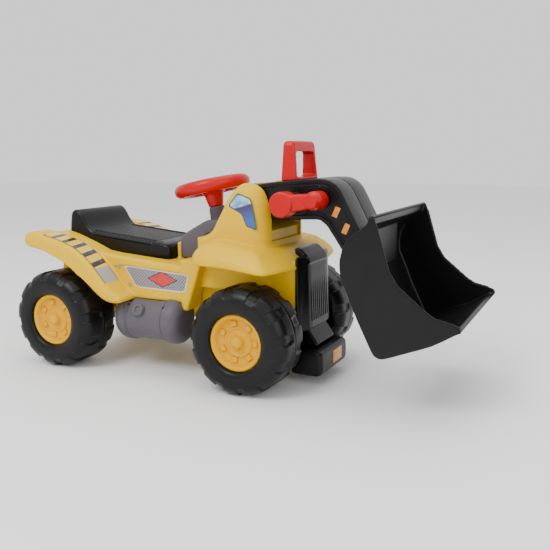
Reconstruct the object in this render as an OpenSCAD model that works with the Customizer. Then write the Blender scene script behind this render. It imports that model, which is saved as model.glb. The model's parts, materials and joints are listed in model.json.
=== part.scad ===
// Ride-on toy digger with a steerable front axle, a lifting boom and a curling bucket.
// X points forward, Y to the driver's left, Z up. The origin is on the ground,
// under the middle of the toy's length and width. All sizes are in millimetres.

/* [Wheels] */
// Diameter of each tyre
tyre_d = 225; // [215:1:226]
// Width of each tyre
tyre_w = 115; // [105:1:116]
// Distance between the front and rear axles
wheelbase = 487; // [480:1:492]
// Width over the outer sides of the tyres
track_w = 434; // [432:1:444]
// Diameter of the hub cover in each wheel
hub_d = 118; // [110:1:120]
// Number of nut bosses on a hub cover
hub_nuts = 7; // [5:1:8]
// Number of tread blocks around a tyre
tread_blocks = 12; // [8:1:14]
// Diameter of the steel axles
axle_d = 10; // [8:1:12]

/* [Body] */
// Width of the seat tub between the side faces
tub_w = 268; // [260:1:272]
// Width over the fenders
fender_w = 392; // [380:1:396]
// Width of the cab
cab_w = 218; // [212:1:222]
// Wall thickness of the moulded shells
wall = 3; // [2.5:0.5:3.5]
// Radius of the cab's front corners
cab_corner_r = 38; // [30:1:40]

/* [Seat] */
// Width of the seat
seat_w = 176; // [168:1:178]
// Distance between the two hinge lugs, centre to centre
seat_lug_span = 66; // [50:1:80]

/* [Steering] */
// Outer diameter of the steering wheel
steer_d = 176; // [166:1:178]
// Diameter of the steering wheel's rim
rim_d = 30; // [24:1:30]
// Lean of the steering column towards the driver, in degrees
column_lean = 12; // [11.5:0.25:12.25]
// Length of the crank at the foot of the steering rod
steer_crank = 28; // [26:0.5:29]
// Length of each knuckle's steering arm
knuckle_arm = 70; // [68:1:72]

/* [Boom] */
// Width of the boom
boom_w = 146; // [140:1:146]
// Depth of the boom at its rear end
boom_h = 73; // [70:1:76]
// Length of the cranks that carry the push rod
curl_crank = 30; // [26:1:32]
// Diameter of the round grip on each side lever
grip_d = 38; // [32:1:40]
// Height of the loop handle above the boom
loop_h = 84; // [76:1:86]

/* [Bucket] */
// Width over the bucket's side plates
bucket_w = 382; // [360:2:386]
// Thickness of the bucket's plates
bucket_t = 4; // [3:0.5:5]

/* [Hidden] */
$fn = 64;

yellow = [0.95, 0.80, 0.13];
hub_yellow = [0.96, 0.72, 0.08];
black = [0.07, 0.07, 0.08];
red = [0.86, 0.09, 0.11];
grey = [0.43, 0.41, 0.46];
steel = [0.66, 0.67, 0.69];
nylon = [0.88, 0.87, 0.83];
orange = [0.90, 0.52, 0.12];
sky = [0.35, 0.62, 0.85];

tyre_r = tyre_d / 2;
hub_r = hub_d / 2;
rear_x = -408;
front_x = rear_x + wheelbase;
axle_z = tyre_r;
axle_r = axle_d / 2;
wheel_y = (track_w - tyre_w) / 2;
run_gap = 0.05;
loose = 0.3;
tub_y = tub_w / 2;
fender_y = fender_w / 2;
cab_y = cab_w / 2;
core_y = 82;
frame_y = 92;
sticker_t = 0.4;
panel_deep = 4;
seat_y = seat_w / 2;
boom_y = boom_w / 2;
bucket_y = bucket_w / 2;

// Wheel details, measured along its own axis from the tyre's middle, outwards positive
tyre_round = 28;
hub_face = tyre_w / 2 - 11;
hub_floor = hub_face - 14;
hub_back = hub_floor - 3;
inner_face = -tyre_w / 2;
inner_dish = 24;
dish_r = 76;
sleeve_r = axle_r + 4;

// Joint centres in the side view, [x, z]
boom_pivot = [75, 389.5];
lever_pivot = [144, 387];
grip_at = [209, 395.5];
bucket_pivot = [286, 298];
seat_pivot = [-152, 282];
boom_pin_r = 6;
shaft_r = 6;
crank_pin_r = 4;
hinge_r = 2.5;
slot_y = boom_y + 1.5;
pin_half = 96;

// Steering column: a point on its axis in the rim's plane, and the rod's ends along it
column_top = [-92, 0, 415];
steer_r = steer_d / 2;
rim_r = rim_d / 2;
rod_r = 5;
rod_foot = 309;
column_r = 18.5;
column_seat = 46;
kingpin_y = 92;
kingpin_r = 4;
knuckle_r = 10;
knuckle_h = 28;
arm_z = 101;
tie_z = 94;
tie_t = 6;

// Side-view outlines, [x, z], anticlockwise with X to the right
fender_top = [
  [-222, 176], [-243, 184], [-267, 212], [-304, 253], [-330, 273], [-357, 287],
  [-395, 299], [-438, 308], [-470, 313], [-484, 312], [-494, 305]
];
fender_under = [
  [-497, 290], [-494, 281], [-487, 277], [-452, 271], [-420, 262], [-381, 248],
  [-350, 230], [-319, 204], [-290, 180], [-270, 167], [-248, 161], [-222, 164]
];
tub_outline = [
  [-480, 250], [-340, 250], [-285, 205], [-262, 165], [-78, 165], [-78, 246],
  [-315, 264], [-357, 281], [-415, 301], [-449, 309], [-458, 305], [-464, 273], [-482, 271]
];
// The tub's side wings, which lean forward past the front body's core
wing_outline = [[-92, 148], [-84, 148], [-50, 244], [-44, 261.5], [-81, 261.5], [-92, 246]];
frame_outline = [
  [-440, 96], [-376, 96], [-350, 125], [-78, 125], [-78, 245], [-470, 260], [-478, 200], [-470, 150]
];
cab_outline = [
  [-75, 262], [98, 262], [98, 352], [95, 371], [86, 401], [76, 416], [60, 425], [45, 427.5],
  [36, 426], [26, 421], [12, 408], [-2, 388], [-37, 326], [-46, 318], [-62, 310], [-75, 308]
];
console_outline = [
  [-145.6, 251.8], [-78.4, 250.3], [-78.4, 309.5], [-62, 311.5], [-47, 319.5], [-38.5, 327.5], [-30, 343],
  [-50, 345], [-77, 343], [-126, 316], [-145.6, 301.5]
];
seat_outline = [
  [-452, 266], [-440, 250.3], [-157.5, 250.3], [-157.5, 274], [-163, 284], [-170, 288], [-227, 292],
  [-300, 298], [-352, 303], [-386, 312], [-398, 324], [-408, 342], [-418, 354], [-430, 358],
  [-441, 354], [-446, 342], [-451, 300]
];
boom_front = [[262, 281], [276, 272], [290, 270.5], [304, 277], [313, 292], [311, 302], [289, 343],
  [257, 404], [250, 416], [240, 427], [226, 435], [212, 438], [185, 438], [110, 431]];
boom_under = [[157, 353], [205, 355], [221, 344], [240, 317], [256, 293]];
bucket_rim = [[520.5, 178], [518, 188], [509, 192], [468, 201], [394, 262], [361, 372], [356, 377.5]];
bucket_back = [[350, 376], [346, 361], [308, 333], [299, 315], [293, 290], [295, 262], [311, 227],
  [325, 191], [358, 124], [364, 116], [374, 112], [386, 114.5], [465, 146], [488, 159], [510, 173]];

// A list of points on an arc, from angle a0 to a1
function arc(c, r, a0, a1, n = 8) =
  [for (i = [0:n]) let (a = a0 + (a1 - a0) * i / n) [c[0] + r * cos(a), c[1] + r * sin(a)]];
function unit(v) = v / norm(v);
// The point i of an anticlockwise outline p, moved inwards by t from both its edges
function inset_point(p, i, t) =
  let (n = len(p), u = unit(p[i] - p[(i + n - 1) % n]), v = unit(p[(i + 1) % n] - p[i]),
       a = [-u[1], u[0]], b = [-v[1], v[0]])
  p[i] + (a + b) * t / (1 + a * b);
function inset(p, t) = [for (i = [0:len(p) - 1]) inset_point(p, i, t)];
function reversed(p) = [for (i = [len(p) - 1:-1:0]) p[i]];
// A rectangle with round corners, half sizes a and b
function round_rect(a, b, r) = concat(
  arc([a - r, b - r], r, 0, 90, 6), arc([r - a, b - r], r, 90, 180, 6),
  arc([r - a, r - b], r, 180, 270, 6), arc([a - r, r - b], r, 270, 360, 6));

// Extrudes a side-view outline across the toy, from y0 to y1
module slab(y0, y1) {
  translate([0, y1, 0]) rotate([90, 0, 0]) linear_extrude(y1 - y0) children();
}
module side_slab(points, y0, y1) {
  slab(y0, y1) polygon(points);
}
module both_sides() {
  children();
  mirror([0, 1, 0]) children();
}
// A hollow closed shell from a side-view outline
module shell(points, y, t = wall) {
  difference() {
    side_slab(points, -y, y);
    side_slab(inset(points, t), t - y, y - t);
  }
}
// A round bar along Y through a side-view point, from y0 to y1
module bar_y(at, r, y0, y1) {
  translate([at[0], y1, at[1]]) rotate([90, 0, 0]) cylinder(r = r, h = y1 - y0);
}
// A box between two opposite corners
module block(low, high) {
  translate(low) cube(high - low);
}
// Places children on the steering column: Z along the rod, origin in the rim's plane
module on_column() {
  translate(column_top) rotate([0, -column_lean, 0]) children();
}
// Places a wheel at an axle: side is 1 on the left and -1 on the right
module at_wheel(x, side) {
  translate([x, side * wheel_y, axle_z]) rotate([-90 * side, 0, 0]) children();
}

// ---- Body ----
fender_outline = concat(fender_top, fender_under);
module fender_shell() {
  difference() {
    side_slab(fender_outline, tub_y - wall, fender_y);
    side_slab(inset(fender_outline, wall), tub_y - 1, fender_y - wall);
  }
}
well_low = [-404, -64, 140];
well_high = [-205, 64, 262];
ridge_low = [-156.5, -58, 240];
ridge_high = [-146, 58, 289];
panel_outline = [[-286, 244], [-256, 200], [-232, 186], [-84, 184], [-72, 232]];
module hinge_notch(gap) {
  for (s = [-1, 1]) {
    y = s * seat_lug_span / 2;
    block([-160, y - 8 - gap, seat_pivot[1] - 8 - gap], [-140, y + 8 + gap, 300]);
  }
}
// A hollow wing on the left, beside the front body's core
module wing() {
  difference() {
    side_slab(wing_outline, core_y + 0.4, tub_y);
    side_slab(inset(wing_outline, wall), core_y + 0.4 + wall, tub_y - wall);
  }
}
module rear_body() {
  color(yellow) difference() {
    union() {
      shell(tub_outline, tub_y);
      both_sides() {
        wing();
        side_slab(inset(panel_outline, -wall), tub_y - panel_deep - wall, tub_y);
      }
      shell(frame_outline, frame_y);
      both_sides() fender_shell();
      block(ridge_low, ridge_high);
      block(well_low - [wall, wall, wall], well_high + [wall, wall, -14]);
      bar_y([rear_x, axle_z], axle_r + 7, -frame_y, frame_y);
    }
    // seat bed between the side rails
    block([-456, -seat_y - 1.5, 250], [-157, seat_y + 1.5, 320]);
    // sunken side panels
    both_sides() side_slab(panel_outline, tub_y - panel_deep, tub_y + 5);
    block(well_low, well_high);
    hinge_notch(loose);
    bar_y(seat_pivot, hinge_r, -80, 80);
    bar_y([rear_x, axle_z], axle_r + 4, -frame_y - 1, frame_y + 1);
    both_sides() for (at = [[-268, 236], [-238, 196]]) bar_y(at, 2.5, tub_y - 20, tub_y + 1);
  }
}

hood_plan = [[-50, -150], [-36, -180], [-10, -196], [118, -196], [132, -190], [140, -178], [161, -86],
  [161, 86], [140, 178], [132, 190], [118, 196], [-10, 196], [-36, 180], [-50, 150]];
hood_front = concat([[196, 251], [196, 264]], arc([150, 264], 46, 10, 82, 6),
  arc([-150, 264], 46, 98, 170, 6), [[-196, 264], [-196, 251]]);
hood_side = [[-50, 262], [50, 262], [132, 250], [161, 250], [161, 266], [130, 280], [98, 294],
  [60, 303], [0, 308], [-30, 308], [-50, 290]];
// The flared front fenders and hood in one dome, shrunk by t for its inner face
module hood(t) {
  intersection() {
    translate([0, 0, 200]) linear_extrude(140) polygon(inset(hood_plan, t));
    side_slab(inset(hood_side, t), -fender_y - 10, fender_y + 10);
    translate([-200, 0, 0]) rotate([90, 0, 90]) linear_extrude(500) polygon(inset(hood_front, t));
  }
}
// The cab's plan, with its edges moved inwards by t
cab_front = 98;
cab_rear = -78;
rear_corner_r = 26;
function cab_plan(t) = concat(
  arc([cab_front - cab_corner_r, cab_y - cab_corner_r], cab_corner_r - t, 0, 90, 6),
  arc([cab_rear + rear_corner_r, cab_y - rear_corner_r], rear_corner_r - t, 90, 180, 6),
  arc([cab_rear + rear_corner_r, rear_corner_r - cab_y], rear_corner_r - t, 180, 270, 6),
  arc([cab_front - cab_corner_r, cab_corner_r - cab_y], cab_corner_r - t, 270, 360, 6));
// The cab with round upright corners, shrunk by t
module cab(t) {
  intersection() {
    side_slab(inset(cab_outline, t), t - cab_y, cab_y - t);
    translate([0, 0, 200]) linear_extrude(300) polygon(cab_plan(t));
  }
}
boom_slot = [[32, 470], [32, 370], [44, 350], [60, 342], [92, 328], [92, 304], [128, 304], [128, 470]];
module front_body() {
  color(yellow) difference() {
    union() {
      difference() {
        union() {
          cab(0);
          hood(0);
          block([-78, -core_y, 134], [161, core_y, 264]);
        }
        difference() {
          union() {
            cab(wall);
            hood(wall);
            block([-75, wall - core_y, 137], [158, core_y - wall, 252]);
            block([-47, wall - core_y, 137], [100, core_y - wall, 268]);
          }
          // cheeks and floor of the boom's slot
          side_slab(inset(boom_slot, -wall), -slot_y - wall, slot_y + wall);
          both_sides() bar_y(boom_pivot, boom_pin_r + 6, slot_y, cab_y);
        }
      }
    }
    side_slab(boom_slot, -slot_y, slot_y);
    bar_y(boom_pivot, boom_pin_r, -pin_half - 2, pin_half + 2);
    // way through for the steering rod
    block([-90, -16, 120], [-14, 16, 320]);
    block([-90, -54, 252], [-60, 54, 304]);
  }
}

module console() {
  color(grey) difference() {
    union() {
      side_slab(console_outline, -60, 60);
      on_column() translate([0, 0, -85]) cylinder(r = column_r, h = 85 - column_seat - 0.4);
    }
    difference() {
      union() {
        side_slab(inset(console_outline, wall), wall - 60, 60 - wall);
        block([-142, wall - 60, 240], [-90, 60 - wall, 256]);
      }
      on_column() translate([0, 0, -100]) cylinder(r = column_r, h = 60);
    }
    on_column() translate([0, 0, -140]) cylinder(r = 10, h = 110);
    block([-96, -20, 240], [-20, 20, 318]);
  }
}

grille_plan = [[161.4, -85], [165, -82], [178, -51], [178, 51], [165, 82], [161.4, 85]];
module grille() {
  color(black) difference() {
    union() {
      intersection() {
        translate([0, 0, 75]) linear_extrude(240) polygon(grille_plan);
        translate([150, 0, 194]) rotate([90, 0, 90]) linear_extrude(60) polygon(round_rect(85, 81, 30));
        side_slab([[150, 113], [178, 113], [178, 255], [166, 275], [150, 275]], -90, 90);
      }
      // lip over the front of the hood, and the sloped plate above the bumper
      side_slab([[140, 276.2], [161.4, 266.5], [176, 258], [166, 275], [150, 290], [140, 290]], -51, 51);
      side_slab([[162, 78], [190, 78], [192, 84], [170, 116], [162, 116]], -50, 50);
    }
    for (i = [-4:4]) block([176, i * 11 - 3, 132], [180, i * 11 + 3, 246]);
    block([158, -core_y + 8, 90], [164.5, core_y - 8, 250]);
  }
}

bumper_face = 214;
bumper_y = 76;
bumper_outline = [[140, 22], [146, 18], [200, 18], [210, 22], [bumper_face, 32], [bumper_face, 66],
  [206, 74.5], [140, 74.5]];
sticker_low = [bumper_face - sticker_t, -10, 34];
sticker_high = [bumper_face, 40, 62];
module bumper() {
  color(black) difference() {
    union() {
      intersection() {
        side_slab(bumper_outline, -bumper_y, bumper_y);
        translate([bumper_face - 60, 0, 0]) linear_extrude(200) polygon(round_rect(60, bumper_y, 14));
      }
      block([112, -60, 40], [142, 60, 133.6]);
    }
    block([116, -56, 44], [137, 56, 130]);
    block([141, 6 - bumper_y, 24], [206, bumper_y - 6, 71]);
    block(sticker_low, sticker_high + [1, 0, 0]);
  }
}

tank_at = [-179, 118, 121];
tank_r = 53;
tank_half = 88;
tank_screw_x = [-226, -131];
// Profile of a tank about its own length, [radius, distance]
tank_profile = concat([[0, -tank_half]], arc([tank_r - 26, 26 - tank_half], 26, -90, 0, 5),
  [[tank_r, -49], [tank_r - 3, -46], [tank_r - 5, -20], [tank_r - 5, 20], [tank_r - 3, 46], [tank_r, 49]],
  arc([tank_r - 26, tank_half - 26], 26, 0, 90, 5), [[0, tank_half]]);
module tank(side) {
  color(grey) difference() {
    translate([tank_at[0], side * tank_at[1], tank_at[2]]) rotate([0, 90, 0]) difference() {
      rotate_extrude() polygon(tank_profile);
      rotate_extrude() polygon([[0, 6 - tank_half], [tank_r - 24, 8 - tank_half],
        [tank_r - 9, 30 - tank_half],
        [tank_r - 9, tank_half - 30], [tank_r - 24, tank_half - 8], [0, tank_half - 6]]);
    }
    mirror([0, side < 0 ? 1 : 0, 0]) {
      block([-300, 0, 60], [-50, frame_y + 0.3, 200]);
      block([-300, 0, 164.7], [-50, tub_y + 0.3, 200]);
      block([-300, 0, 160.6], [-221.6, fender_y, 200]);
      block([-92.4, 0, 147.6], [-50, tub_y + 0.3, 200]);
      tank_screw_holes();
    }
  }
}
module tank_screw_holes() {
  for (x = tank_screw_x) translate([x, 150, 150]) rotate([-35, 0, 0])
    translate([0, 0, -6]) cylinder(r = 3.5, h = 60);
}
module left_tank() tank(1);
module right_tank() tank(-1);
cap_tilt = 30;
module tank_caps() {
  color(grey) both_sides() translate([tank_at[0] - 14, tank_at[1], tank_at[2]]) rotate([-90 + cap_tilt, 0, 0])
    translate([0, 0, tank_r - 4.2]) difference() {
      cylinder(r1 = 15, r2 = 13, h = 7);
      translate([0, 0, 5]) cylinder(r = 8, h = 4);
    }
}
module tank_screws() {
  color(steel) both_sides() for (x = tank_screw_x) translate([x, 150, 150]) rotate([-35, 0, 0])
    translate([0, 0, -5.5]) cylinder(r = 3.4, h = 4);
}
module panel_screws() {
  color(steel) both_sides() for (at = [[-268, 236], [-238, 196]]) {
    bar_y(at, 2.4, tub_y - 16, tub_y - panel_deep);
    bar_y(at, 5, tub_y - panel_deep, tub_y - 2);
  }
}

module rear_axle() {
  color(steel) bar_y([rear_x, axle_z], axle_r, -wheel_y - hub_back + 1, wheel_y + hub_back - 1);
}
module axle_bushes() {
  color(nylon) both_sides() difference() {
    union() {
      bar_y([rear_x, axle_z], axle_r + 4, frame_y - 20, frame_y);
      bar_y([rear_x, axle_z], axle_r + 8, frame_y, frame_y + 3);
    }
    bar_y([rear_x, axle_z], axle_r, frame_y - 30, frame_y + 10);
  }
}
// A push-on cap for the end of an axle at x, on the left side
module axle_cap(x) {
  difference() {
    bar_y([x, axle_z], axle_r + 3, wheel_y + hub_back - 6, wheel_y + hub_back + 1);
    bar_y([x, axle_z], axle_r, wheel_y + hub_back - 8, wheel_y + hub_back - 1);
  }
}
module rear_axle_caps() color(steel) both_sides() axle_cap(rear_x);

// ---- Steering ----
module front_beam() {
  color(black) difference() {
    union() {
      block([front_x - 16, -76, tie_z + 7], [front_x + 16, 76, 133.6]);
      both_sides() for (z = [[92, 97.6], [axle_z + knuckle_h / 2 + 0.4, 133.6]]) {
        bar_z = z[1] - z[0];
        translate([front_x, kingpin_y, z[0]]) cylinder(r = knuckle_r, h = bar_z);
        block([front_x - knuckle_r, 60, z[0]], [front_x + knuckle_r, kingpin_y, z[1]]);
      }
      both_sides() block([front_x - 14, 55, 92], [front_x + 14, 76, 120]);
    }
    both_sides() translate([front_x, kingpin_y, 80]) cylinder(r = kingpin_r, h = 70);
    block([front_x - 12, -50, 90], [front_x + 12, 50, 129]);
  }
}
module kingpins() {
  color(steel) both_sides() translate([front_x, kingpin_y, 90]) {
    cylinder(r = kingpin_r, h = 43.6);
    cylinder(r = kingpin_r + 2, h = 2);
  }
}
// A knuckle: a barrel on the kingpin, a stub axle and a steering arm with a pin
module knuckle(side) {
  mirror([0, side < 0 ? 1 : 0, 0]) difference() {
    union() {
      translate([front_x, kingpin_y, axle_z - knuckle_h / 2]) cylinder(r = knuckle_r, h = knuckle_h);
      bar_y([front_x, axle_z], axle_r, kingpin_y + 6, wheel_y + hub_back - 1);
      bar_y([front_x, axle_z], axle_r + 3, kingpin_y + 6, kingpin_y + 16);
      block([front_x - knuckle_arm, kingpin_y - 5, arm_z], [front_x, kingpin_y + 5, arm_z + 8]);
      translate([front_x - knuckle_arm, kingpin_y, arm_z]) cylinder(r = 7, h = 8);
      translate([front_x - knuckle_arm, kingpin_y, tie_z - 3]) cylinder(r = 3, h = 12);
    }
    translate([front_x, kingpin_y, 70]) cylinder(r = kingpin_r + run_gap, h = 90);
  }
}
module left_knuckle() color(steel) knuckle(1);
module right_knuckle() color(steel) knuckle(-1);
module left_knuckle_cap() color(steel) axle_cap(front_x);
module right_knuckle_cap() color(steel) mirror([0, 1, 0]) axle_cap(front_x);

// Where the rod's axis meets height z
function column_x(z) = column_top[0] + (column_top[2] - z) * tan(column_lean);
crank_x = column_x(tie_z + tie_t / 2 + steer_crank * sin(column_lean)) - steer_crank * cos(column_lean);
module long_slot(half, r, h) {
  for (s = [-1, 1]) translate([s * half, 0, 0]) cylinder(r = r, h = h);
  translate([-half, -r, 0]) cube([2 * half, 2 * r, h]);
}
module tie_bar() {
  color(steel) difference() {
    union() {
      block([front_x - knuckle_arm - 11, -kingpin_y - 8, tie_z],
        [front_x - knuckle_arm + 11, kingpin_y + 8, tie_z + tie_t]);
      block([crank_x - 12, -11, tie_z], [front_x - knuckle_arm, 11, tie_z + tie_t]);
    }
    both_sides() translate([front_x - knuckle_arm + 0.5, kingpin_y, tie_z - 1])
      long_slot(1.4, 3 + loose, tie_t + 2);
    translate([crank_x + 1.3, 0, tie_z - 1]) long_slot(2.4, 3 + loose, tie_t + 2);
  }
}
module steering_rod() {
  color(steel) on_column() {
    translate([0, 0, -rod_foot]) cylinder(r = rod_r, h = rod_foot + 6);
    translate([-steer_crank, 0, -rod_foot]) cylinder(r = 5, h = 6);
    translate([-steer_crank, -5, -rod_foot]) cube([steer_crank, 10, 6]);
    translate([-steer_crank, 0, -rod_foot - 13]) cylinder(r = 3, h = 14);
  }
}
module column_bush() {
  color(nylon) on_column() difference() {
    translate([0, 0, -80]) cylinder(r = 10, h = 80 - column_seat - 0.4);
    translate([0, 0, -90]) cylinder(r = rod_r + run_gap, h = 90);
  }
}
module floor_bush() {
  color(nylon) difference() {
    block([-62, -30, 128], [-4, 30, 133.7]);
    on_column() translate([0, 0, -rod_foot]) cylinder(r = rod_r + 0.1, h = 100);
  }
}
module steering_wheel() {
  color(red) on_column() difference() {
    union() {
      rotate_extrude() translate([steer_r - rim_r, 0]) circle(r = rim_r);
      for (a = [0, 120, 240]) rotate(a + 60) translate([0, -15, -8]) cube([steer_r - rim_r, 30, 15]);
      translate([0, 0, -10]) cylinder(r = 32, h = 18);
      translate([0, 0, -column_seat]) cylinder(r1 = 17, r2 = 25, h = column_seat - 8);
    }
    translate([0, 0, -column_seat - 1]) cylinder(r = rod_r, h = column_seat + 7);
    translate([0, 0, 6]) cylinder(r = 12, h = 10);
  }
}
module wheel_cap() {
  color(red) on_column() translate([0, 0, 6]) cylinder(r = 12, h = 4);
}

// ---- Wheels ----
tyre_outline = concat(
  [[axle_r + 4, inner_face + inner_dish], [dish_r - 6, inner_face + inner_dish], [dish_r, inner_face + 4]],
  [[dish_r + 4, inner_face]],
  arc([tyre_r - tyre_round, inner_face + tyre_round], tyre_round, -90, 0, 6),
  arc([tyre_r - tyre_round, tyre_w / 2 - tyre_round], tyre_round, 0, 90, 6),
  [[hub_r + 10, tyre_w / 2], [hub_r + 2, tyre_w / 2 - 4], [hub_r + 0.2, hub_face - 4],
   [hub_r + 0.2, hub_back - 6],
   [axle_r + 9, hub_back - 6], [axle_r + 9, hub_back - 8], [axle_r + 4, hub_back - 8]]);
module tyre(x, side) {
  color(black) at_wheel(x, side) difference() {
    rotate_extrude() polygon(tyre_outline);
    rotate_extrude() polygon(inset([[axle_r + 6, inner_face + inner_dish], [dish_r, inner_face + inner_dish],
      [dish_r + 6, inner_face + 1], [tyre_r - 20, inner_face + 1], [tyre_r - 4, inner_face + 22],
      [tyre_r - 4, tyre_w / 2 - 22], [tyre_r - 20, tyre_w / 2 - 1], [hub_r + 6, tyre_w / 2 - 1],
      [hub_r + 3, hub_back - 6], [axle_r + 6, hub_back - 8]], wall));
    for (i = [0:tread_blocks - 1]) {
      rotate((i + 0.25) * 360 / tread_blocks) translate([tyre_r - 3, -5, 6]) cube([10, 10, 60]);
      rotate((i + 0.75) * 360 / tread_blocks) translate([tyre_r - 3, -5, -66]) cube([10, 10, 60]);
    }
  }
}
hub_outline = [[axle_r + 7, hub_floor - 3], [hub_r - 9, hub_back], [hub_r - 5, hub_face - 4], [hub_r, hub_face - 4],
  [hub_r, hub_face], [hub_r - 5, hub_face + 0.5], [hub_r - 9, hub_face - 3], [hub_r - 13, hub_floor],
  [hub_r / 2 + 3, hub_floor], [hub_r / 2 + 1, hub_floor + 3], [hub_r / 2 - 2, hub_floor + 3],
  [hub_r / 2 - 4, hub_floor], [axle_r + 9, hub_floor + 1], [axle_r + 8, hub_face - 3], [axle_r + 2, hub_face + 1],
  [0, hub_face + 2], [0, hub_face - 2], [axle_r + 1, hub_face - 4], [axle_r + 5, hub_face - 6]];
module hub(x, side) {
  color(hub_yellow) at_wheel(x, side) {
    rotate_extrude() polygon(hub_outline);
    for (i = [0:hub_nuts - 1]) rotate(i * 360 / hub_nuts) translate([hub_r * 0.66 - 6, -6, hub_floor - 2])
      cube([12, 12, 7]);
  }
}
module sleeve(x, side) {
  color(nylon) at_wheel(x, side) difference() {
    translate([0, 0, inner_face + inner_dish - 2])
      cylinder(r = axle_r + 4, h = hub_back - 8 - inner_face - inner_dish);
    translate([0, 0, inner_face]) cylinder(r = axle_r + run_gap, h = tyre_w);
  }
}
module rear_left_tyre() tyre(rear_x, 1);
module rear_left_hub() hub(rear_x, 1);
module rear_left_sleeve() sleeve(rear_x, 1);
module rear_right_tyre() tyre(rear_x, -1);
module rear_right_hub() hub(rear_x, -1);
module rear_right_sleeve() sleeve(rear_x, -1);
module front_left_tyre() tyre(front_x, 1);
module front_left_hub() hub(front_x, 1);
module front_left_sleeve() sleeve(front_x, 1);
module front_right_tyre() tyre(front_x, -1);
module front_right_hub() hub(front_x, -1);
module front_right_sleeve() sleeve(front_x, -1);

// ---- Seat ----
module seat_hinge_pin() color(steel) bar_y(seat_pivot, hinge_r, -56, 56);
module seat() {
  color(black) difference() {
    union() {
      shell(seat_outline, seat_y);
      for (s = [-1, 1]) {
        y = s * seat_lug_span / 2;
        bar_y(seat_pivot, 6, y - 8, y + 8);
        block([-162, y - 8, seat_pivot[1] - 6], [seat_pivot[0], y + 8, seat_pivot[1] + 6]);
      }
    }
    block([-436, wall - seat_y, 245], [-162, seat_y - wall, 256]);
    bar_y(seat_pivot, hinge_r + run_gap, -seat_y, seat_y);
  }
}

// ---- Boom ----
boom_outline = concat(arc(boom_pivot, boom_h / 2, 90, 270, 10), boom_under, boom_front);
// One half of the boom: a tray with bosses for the pins, open towards the middle
module boom_half() {
  difference() {
    union() {
      difference() {
        side_slab(boom_outline, 0, boom_y);
        side_slab(inset(boom_outline, wall), -1, boom_y - wall);
      }
      bar_y(boom_pivot, boom_pin_r + 5, 0, boom_y - 1);
      bar_y(lever_pivot, shaft_r + 5, 24, boom_y - 1);
      bar_y(bucket_pivot, boom_pin_r + 5, 0, boom_y - 1);
      for (at = boom_screw_at) bar_y(at, 5, 0, boom_y - 1);
    }
    bar_y(boom_pivot, boom_pin_r + run_gap, -1, boom_y + 1);
    bar_y(lever_pivot, shaft_r + run_gap, -1, boom_y + 1);
    bar_y(bucket_pivot, boom_pin_r, -1, boom_y + 1);
    for (at = boom_screw_at) bar_y(at, 2, -1, boom_y - 8);
    // ways out for the push rod and the bucket's crank
    block([254, -1, 310], [330, 12, 396]);
    block([190, -1, 330], [243, 6.5, 363]);
  }
}
boom_screw_at = [[100, 420], [205, 420], [246, 390]];
module boom_left() color(black) boom_half();
module boom_right() color(black) mirror([0, 1, 0]) boom_half();
module boom_screws() {
  color(steel) for (at = boom_screw_at) {
    bar_y(at, 2, -boom_y + 9, boom_y - 9);
  }
}
loop_z = 431;
module loop_handle() {
  color(red) intersection() {
    translate([0, 0, loop_z]) rotate([90, 0, 90]) linear_extrude(200) difference() {
      polygon(concat([[-63, -6], [63, -6]], arc([49, loop_h - 9], 9, 0, 90, 4),
        arc([-49, loop_h - 9], 9, 90, 180, 4)));
      polygon([[-50, 8], [50, 8], [46, loop_h - 22], [-46, loop_h - 22]]);
    }
    side_slab([[113, 431.28], [147, 434.45], [139, 530], [117, 530]], -70, 70);
  }
}
module boom_stickers() {
  color(orange) both_sides() for (at = [[241, 371], [262, 338]])
    side_slab([at + [-10, -8], at + [1, -12], at + [10, 8], at + [-1, 12]], boom_y, boom_y + sticker_t);
}
module boom_pin() color(steel) bar_y(boom_pivot, boom_pin_r, -pin_half, pin_half);
module bucket_pin() color(steel) bar_y(bucket_pivot, boom_pin_r, -boom_y - 12, boom_y + 12);

// ---- Curl linkage ----
lever_out = 133;
module lever() {
  difference() {
    union() {
      bar_y(lever_pivot, 26, boom_y + 22, lever_out);
      bar_y(lever_pivot, 19, boom_y + 1, boom_y + 30);
      bar_y(grip_at, grip_d / 2, boom_y + 2, lever_out - 18);
      translate([grip_at[0], lever_out - 18, grip_at[1]]) rotate([-90, 0, 0])
        cylinder(r1 = grip_d / 2, r2 = 14, h = 14);
      side_slab([[lever_pivot[0], lever_pivot[1] - 19], [grip_at[0], grip_at[1] - 15],
        [grip_at[0], grip_at[1] + 15], [lever_pivot[0], lever_pivot[1] + 19]], lever_out - 34, lever_out - 6);
    }
    bar_y(lever_pivot, shaft_r, 0, lever_out - 8);
  }
}
module left_lever() color(red) lever();
module right_lever() color(red) mirror([0, 1, 0]) lever();
// A flat link between two side-view points that lie one above the other
module upright_link(foot, length, r, y0, y1) {
  bar_y(foot, r, y0, y1);
  bar_y(foot + [0, length], r, y0, y1);
  block([foot[0] - r, y0, foot[1]], [foot[0] + r, y1, foot[1] + length]);
}
module lever_shaft() {
  color(steel) {
    both_sides() {
      bar_y(lever_pivot, shaft_r, 4.6, lever_out - 8);
      upright_link(lever_pivot, curl_crank, 8, 4.6, 9);
    }
    bar_y(lever_pivot + [0, curl_crank], crank_pin_r, -8, 8);
  }
}
rod_span = bucket_pivot - lever_pivot;
rod_angle = atan2(rod_span[1], rod_span[0]);
module push_rod() {
  color(steel) difference() {
    union() {
      for (p = [lever_pivot, bucket_pivot]) bar_y(p + [0, curl_crank], 8, -4, 4);
      translate([lever_pivot[0], 0, lever_pivot[1] + curl_crank]) rotate([0, -rod_angle, 0])
        block([0, -3.5, -4], [norm(rod_span), 3.5, 4]);
    }
    for (p = [lever_pivot, bucket_pivot]) bar_y(p + [0, curl_crank], crank_pin_r + run_gap, -5, 5);
  }
}

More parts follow.
